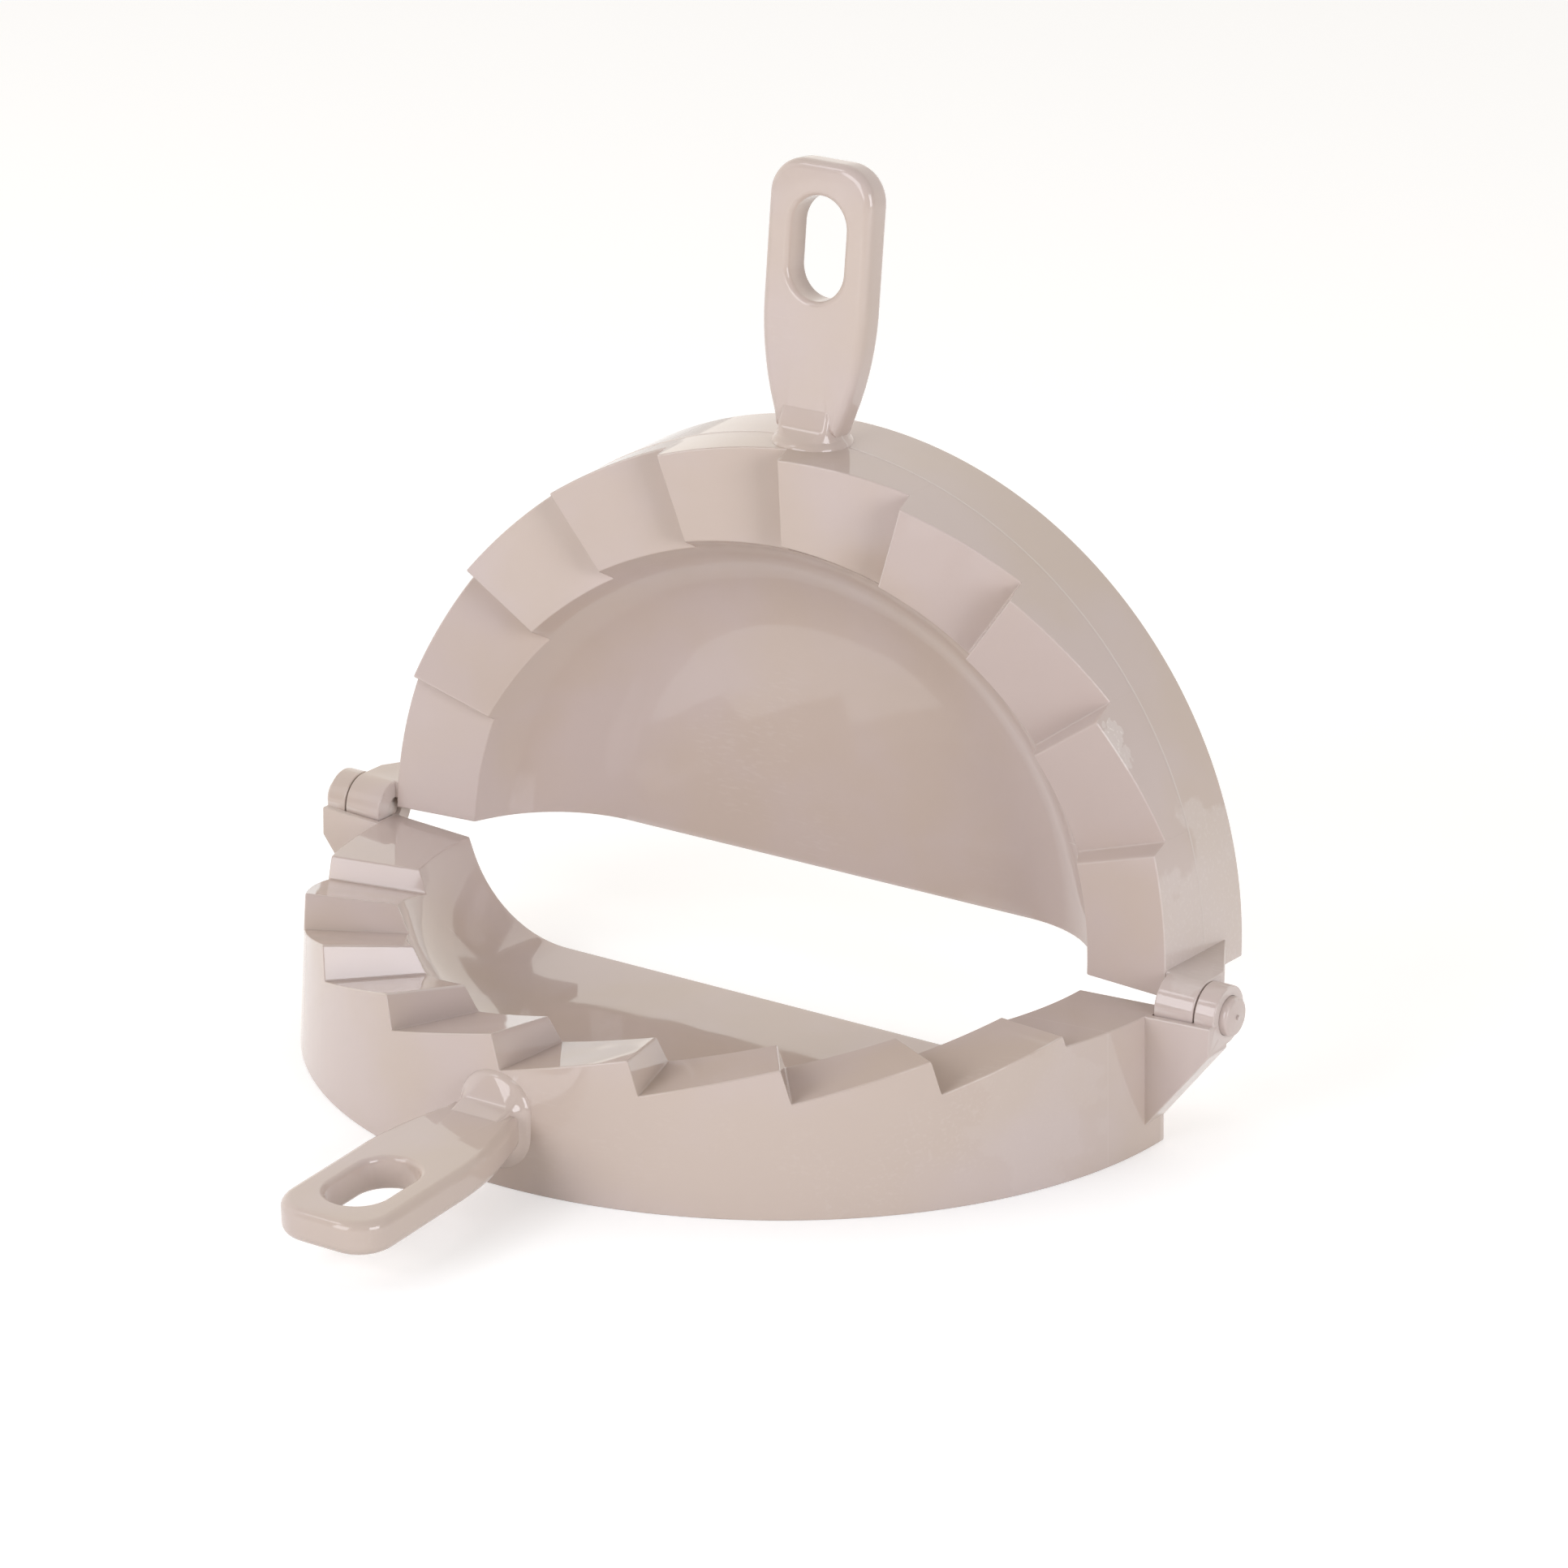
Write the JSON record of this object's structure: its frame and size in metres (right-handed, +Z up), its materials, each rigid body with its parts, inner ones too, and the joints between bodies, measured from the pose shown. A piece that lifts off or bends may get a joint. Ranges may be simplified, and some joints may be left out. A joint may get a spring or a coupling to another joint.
{
  "type": "empanada press",
  "caption": "Hinged dough press with a handle on each jaw and saw-toothed rims that fold and crimp a filled pastry along its edge.",
  "frame": {"origin": "on the table, under the middle of the press's bounding box in the half-open pose", "axes": "+X along the hinge, -Y toward the front jaw's handle, +Z up"},
  "size_m": [0.188, 0.1532, 0.1539],
  "materials": {
    "front_jaw": "gloss moulded plastic, warm beige",
    "rear_jaw": "gloss moulded plastic, warm beige",
    "left_hinge_pin": "gloss moulded plastic, warm beige",
    "right_hinge_pin": "gloss moulded plastic, warm beige"
  },
  "bodies": {
    "front": {"front_jaw": "front_jaw"},
    "rear": {"rear_jaw": "rear_jaw", "left_hinge_pin": "left_hinge_pin", "right_hinge_pin": "right_hinge_pin"}
  },
  "joints": [
    {"name": "hinge", "type": "hinge", "parent": "front", "child": "rear", "pos_m": [0, 0.0524, 0.025], "axis": [1, 0, 0], "range_deg": [-90, 92]}
  ]
}
